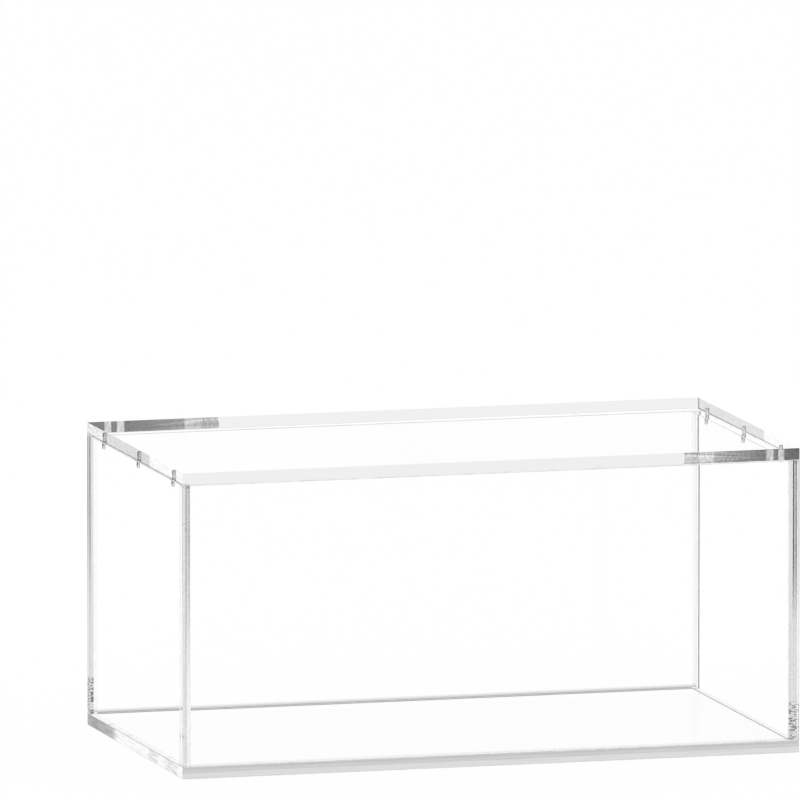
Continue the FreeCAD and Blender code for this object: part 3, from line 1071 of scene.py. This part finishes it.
class CASE_OT_lid(bpy.types.Operator):
    """Makes the loose lid, with seats for magnets in its underside"""

    bl_idname = "display_case.lid"
    bl_label = "Lid"

    def execute(self, context):
        settings = context.scene.display_case.sheets
        lo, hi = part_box("lid_plate")
        seats = [seat_of(f"lid_magnet_{side}_{number}", settings)
                 for side in SIDES for number in MAGNET_NUMBERS]
        edge = settings.free_edge
        surface = sheet_surface(lo, hi, edge, edge, settings, seats=seats, seats_up=False)
        materials = finishes("clear_lid_face", "cement_joint", "rounded_edge", "lid_long_edge",
                             "lid_end_edge")
        piece = add_piece("lid_plate_polished", surface, materials, lid_zone)
        dress(piece, LID_BODY, "lid_plate")
        return {"FINISHED"}


class CASE_OT_magnets(bpy.types.Operator):
    """Makes the plated rod magnets in the walls and in the lid"""

    bl_idname = "display_case.magnets"
    bl_label = "Magnets"

    def execute(self, context):
        settings = context.scene.display_case.magnets
        materials = [plating_material("bright_nickel_plating")]
        for holder, body in (("wall", CASE_BODY), ("lid", LID_BODY)):
            for side in SIDES:
                for number in MAGNET_NUMBERS:
                    node = f"{holder}_magnet_{side}_{number}"
                    lo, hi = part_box(node)
                    surface = rod_surface(lo, hi, settings.rim, settings)
                    piece = add_piece(node + "_plated", surface, materials)
                    dress(piece, body, node)
        return {"FINISHED"}


# Stage

def set_light_paths(scene):
    """Enough bounces for light that runs along inside a sheet."""
    bounces = 96
    scene.cycles.max_bounces = bounces
    scene.cycles.transmission_bounces = bounces
    scene.cycles.glossy_bounces = bounces
    scene.cycles.transparent_max_bounces = bounces
    scene.cycles.caustics_refractive = False
    scene.cycles.caustics_reflective = False


def beside(tree, vector, settings):
    """A mask of what lies to the left and right of the case: the sideways share of a level bearing."""
    parts = put(tree, "ShaderNodeSeparateXYZ", {0: vector})
    level = put(tree, "ShaderNodeCombineXYZ", {"X": parts.outputs["X"], "Y": parts.outputs["Y"]})
    bearing = put(tree, "ShaderNodeVectorMath", {0: level.outputs[0]}, operation="NORMALIZE")
    sideways = put(tree, "ShaderNodeSeparateXYZ", {0: bearing.outputs[0]})
    soft_edge = 0.08
    return step_between(tree, maths(tree, "ABSOLUTE", sideways.outputs["X"]),
                        settings.card_bearing, settings.card_bearing + soft_edge)


def card_shade(tree, vector, settings):
    """White, but dark to reflections that look to either side, where dark cards stand."""
    once = maths(tree, "COMPARE", light_path(tree, "Glossy Depth"), 1.0, BETWEEN)
    card = product(tree, once, beside(tree, vector, settings))
    return mix_colours(tree, card, WHITE, grey(settings.card_tone))


def add_floor(scene, settings):
    """A plain pale floor, mostly plain white to the camera, to reflections and through the acrylic."""
    material, tree, end = new_material("pale_floor")
    seen = maths(tree, "MAXIMUM", light_path(tree, "Is Camera Ray"), light_path(tree, "Is Glossy Ray"))
    seen = maths(tree, "MAXIMUM", seen, light_path(tree, "Is Transmission Ray"))
    glow = product(tree, seen, settings.floor_glow)
    place = object_spot(tree).place
    mottle = streaks(tree, place, FLOOR_MOTTLE)
    colour = mix_colours(tree, 1.0, mottle, (*settings.floor_colour, 1.0), "MULTIPLY")
    far = put(tree, "ShaderNodeVectorMath", {0: place}, operation="LENGTH").outputs["Value"]
    shade = card_shade(tree, place, settings)
    shade = mix_colours(tree, maths(tree, "GREATER_THAN", far, settings.card_distance), WHITE, shade)
    white = put(tree, "ShaderNodeEmission", {"Color": shade, "Strength": 1.0})
    shown = mix_shaders(tree, glow, matte_shader(tree, colour), white.outputs[0])
    tree.links.new(shown, end.inputs["Surface"])
    below = 0.2 * MM
    level = CAD_BOX[0][2] - below
    mesh = bpy.data.meshes.new("floor")
    corners = [(x, y, level) for x, y in (settings.floor_size * QUADRANTS).tolist()]
    mesh.from_pydata(corners, [], [tuple(range(len(corners)))])
    mesh.materials.append(material)
    floor = bpy.data.objects.new("floor", mesh)
    scene.collection.objects.link(floor)


def add_world(scene, settings):
    """White all round, with a dark card at each side that only reflections show."""
    world = bpy.data.worlds.new("studio")
    scene.world = world
    world.use_nodes = True
    tree = world.node_tree
    tree.nodes.clear()
    place = put(tree, "ShaderNodeTexCoord").outputs["Generated"]
    light = put(tree, "ShaderNodeBackground", {"Color": card_shade(tree, place, settings), "Strength": 1.0})
    put(tree, "ShaderNodeOutputWorld", {"Surface": light.outputs[0]})


def add_lamp(scene, settings):
    """A soft box above the case."""
    lamp = bpy.data.lights.new("soft_box", "AREA")
    lamp.shape = "RECTANGLE"
    width, depth, height = 1.4, 1.0, 1.6
    lamp.size, lamp.size_y = width, depth
    lamp.energy = settings.lamp_power
    holder = bpy.data.objects.new("soft_box", lamp)
    holder.location = (0.0, 0.0, height)
    scene.collection.objects.link(holder)


def add_camera(scene, settings):
    """A long lens from the photograph's angle, aimed so that the case lies where it does there."""
    lens = bpy.data.cameras.new("camera")
    lens.sensor_width = SENSOR_MM
    lens.lens = settings.focal_pixels * SENSOR_MM / IMAGE_PIXELS
    lens.clip_end = 2.0 * settings.distance
    camera = bpy.data.objects.new("camera", lens)
    middle = (Vector(CAD_BOX[0]) + Vector(CAD_BOX[1])) / 2
    flat = math.cos(settings.elevation)
    out = Vector((math.sin(settings.azimuth) * flat, -math.cos(settings.azimuth) * flat,
                  math.sin(settings.elevation)))
    camera.location = middle + settings.distance * out
    flat = math.cos(settings.pitch)
    ahead = Vector((math.sin(settings.yaw) * flat, math.cos(settings.yaw) * flat,
                    -math.sin(settings.pitch)))
    camera.rotation_euler = ahead.to_track_quat("-Z", "Y").to_euler()
    scene.collection.objects.link(camera)
    scene.camera = camera


class CASE_OT_stage(bpy.types.Operator):
    """Makes the white floor, the soft light and the camera"""

    bl_idname = "display_case.stage"
    bl_label = "Stage"

    def execute(self, context):
        scene = context.scene
        settings = scene.display_case.studio
        scene.view_settings.view_transform = "Standard"
        set_light_paths(scene)
        add_floor(scene, settings)
        add_world(scene, settings)
        add_lamp(scene, settings)
        add_camera(scene, settings)
        return {"FINISHED"}


# Add-on

class CASE_PT_panel(bpy.types.Panel):
    """Lists the settings and the pieces"""

    bl_idname = "CASE_PT_panel"
    bl_label = "Display Case"
    bl_space_type = "VIEW_3D"
    bl_region_type = "UI"
    bl_category = "Display Case"

    def draw(self, context):
        settings = context.scene.display_case
        for group in (settings.sheets, settings.magnets, settings.studio):
            box = self.layout.box()
            for name in group.bl_rna.properties.keys():
                if name not in ("rna_type", "name"):
                    box.prop(group, name)
        for operator in PIECES:
            self.layout.operator(operator.bl_idname)


PIECES = (CASE_OT_stage, CASE_OT_base_plate, CASE_OT_long_walls, CASE_OT_end_walls, CASE_OT_lid,
          CASE_OT_magnets)
CLASSES = (SheetSettings, MagnetSettings, StudioSettings, CaseSettings, *PIECES, CASE_PT_panel)


def register():
    for kind in CLASSES:
        bpy.utils.register_class(kind)
    bpy.types.Scene.display_case = bpy.props.PointerProperty(type=CaseSettings)


def unregister():
    del bpy.types.Scene.display_case
    for kind in reversed(CLASSES):
        bpy.utils.unregister_class(kind)


def main():
    """Makes every piece in order."""
    register()
    bpy.ops.display_case.stage()
    bpy.ops.display_case.base_plate()
    bpy.ops.display_case.long_walls()
    bpy.ops.display_case.end_walls()
    bpy.ops.display_case.lid()
    bpy.ops.display_case.magnets()


if __name__ == "__main__":
    main()
